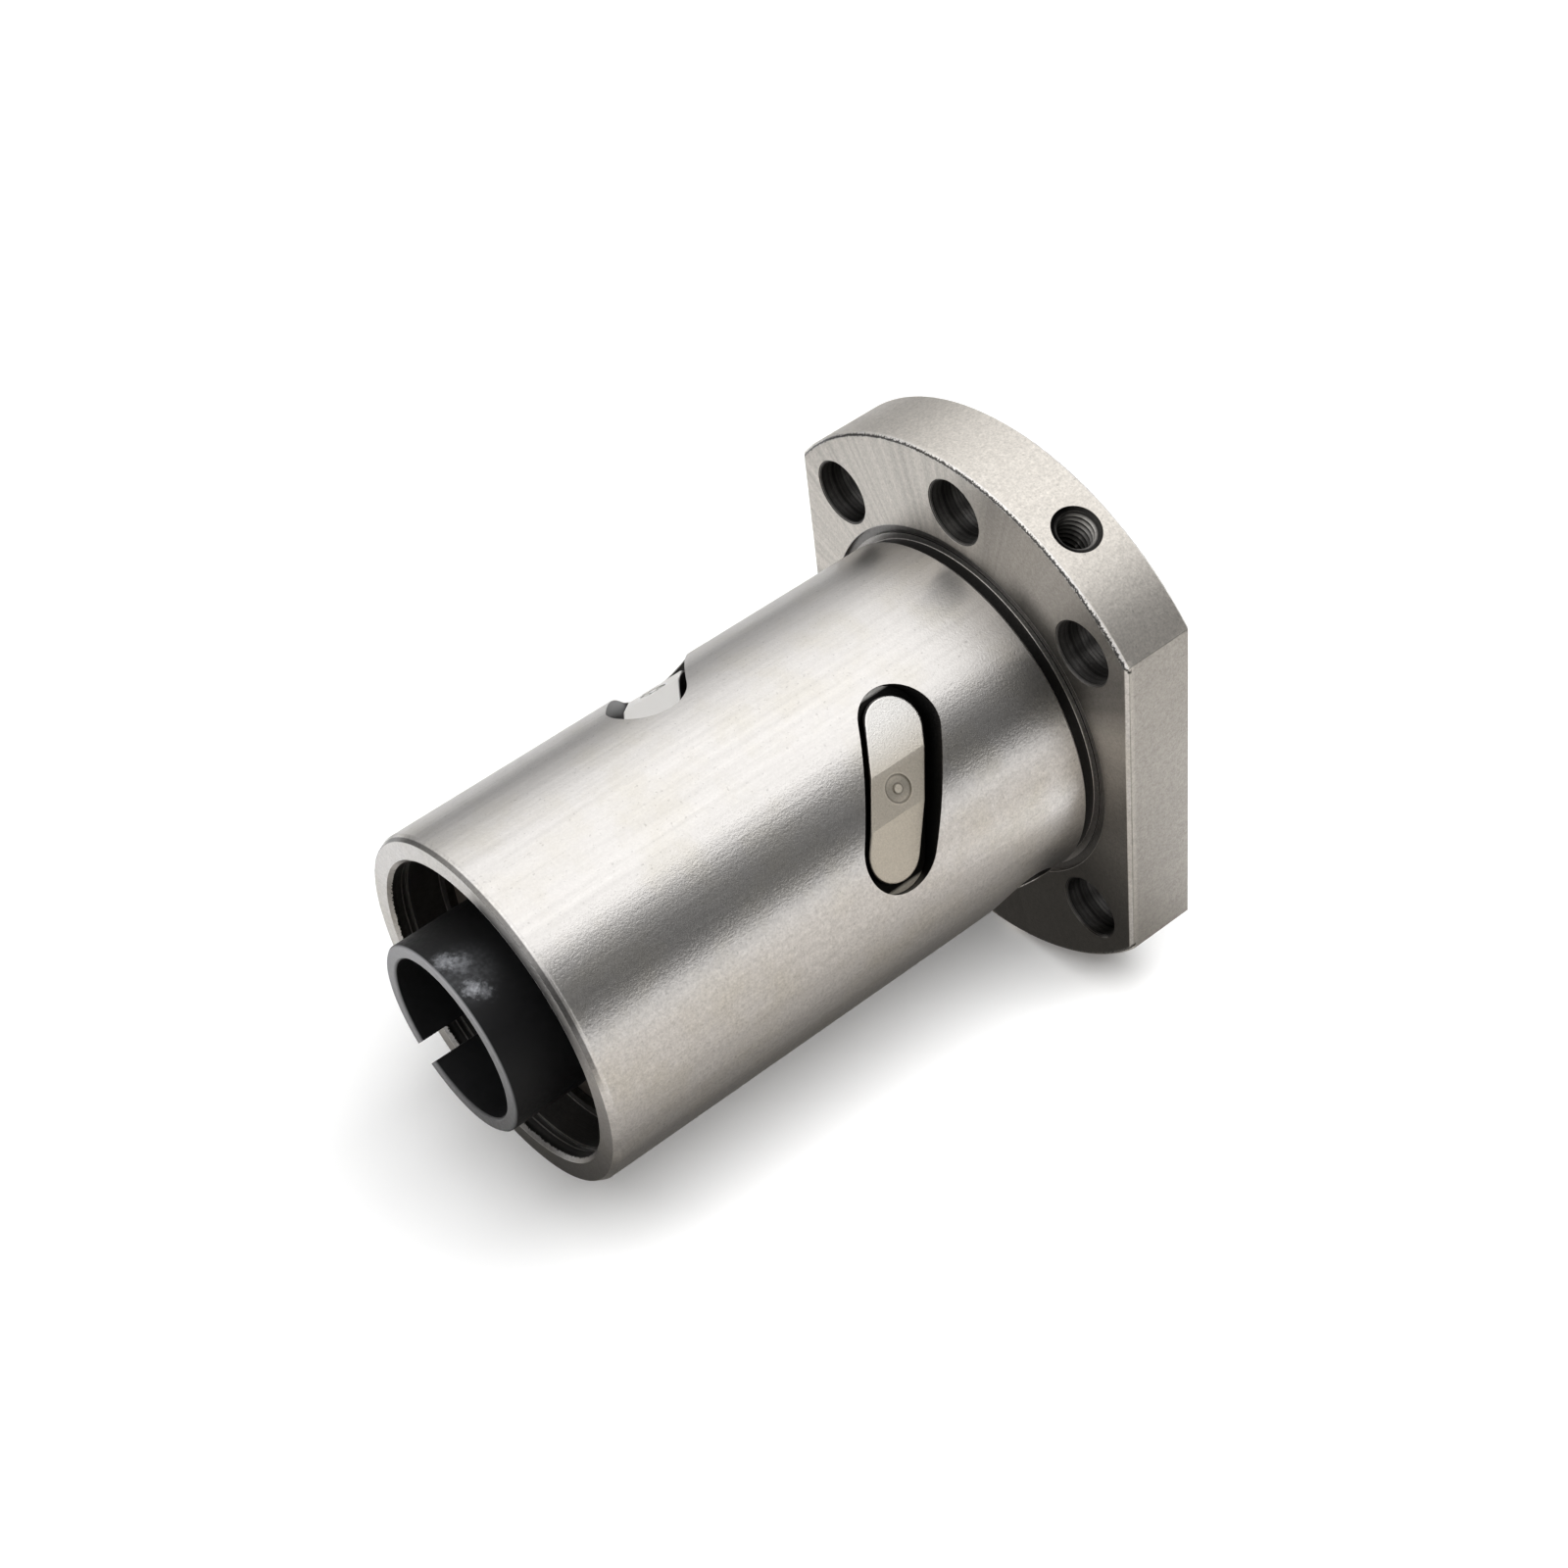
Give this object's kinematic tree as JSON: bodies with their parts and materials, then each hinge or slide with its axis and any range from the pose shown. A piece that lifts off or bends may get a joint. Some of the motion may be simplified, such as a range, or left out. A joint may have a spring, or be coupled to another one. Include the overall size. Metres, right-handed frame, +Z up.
{
  "type": "flanged ball screw nut",
  "caption": "Flanged ball screw nut with internal ball return deflectors, wipers at both ends and a slit shipping arbor in its bore.",
  "frame": {"origin": "on the nut's axis in the plane of the flange's mounting face, which is the centre of the bolt pattern", "axes": "+X along the nut's axis towards its free end, the way the body goes into a housing; +Z up, along the flange's long side; the flange's two flats face +Y and -Y"},
  "size_m": [0.1024, 0.062, 0.08],
  "materials": {
    "ground_steel": "ground, satin",
    "cast_insert_steel": "as cast, matte",
    "bearing_steel": "polished",
    "wiper_polymer": "moulded, matte",
    "spring_steel": "oil-blackened",
    "arbor_plastic": "extruded, satin"
  },
  "bodies": {
    "nut": {"nut_body": "ground_steel", "deflector_1": "cast_insert_steel", "deflector_2": "cast_insert_steel", "deflector_3": "cast_insert_steel", "deflector_4": "cast_insert_steel", "balls_loaded_1": "bearing_steel", "balls_loaded_2": "bearing_steel", "balls_loaded_3": "bearing_steel", "balls_loaded_4": "bearing_steel", "balls_return_1": "bearing_steel", "balls_return_2": "bearing_steel", "balls_return_3": "bearing_steel", "balls_return_4": "bearing_steel", "wiper_free_end": "wiper_polymer", "wiper_flange_end": "wiper_polymer", "retaining_ring_free_end": "spring_steel", "retaining_ring_flange_end": "spring_steel"},
    "arbor": {"shipping_arbor": "arbor_plastic"}
  },
  "joints": [
    {"name": "arbor_slide", "type": "slide", "parent": "nut", "child": "arbor", "axis": [1, 0, 0], "range_m": [-0.1, 0.1]}
  ]
}
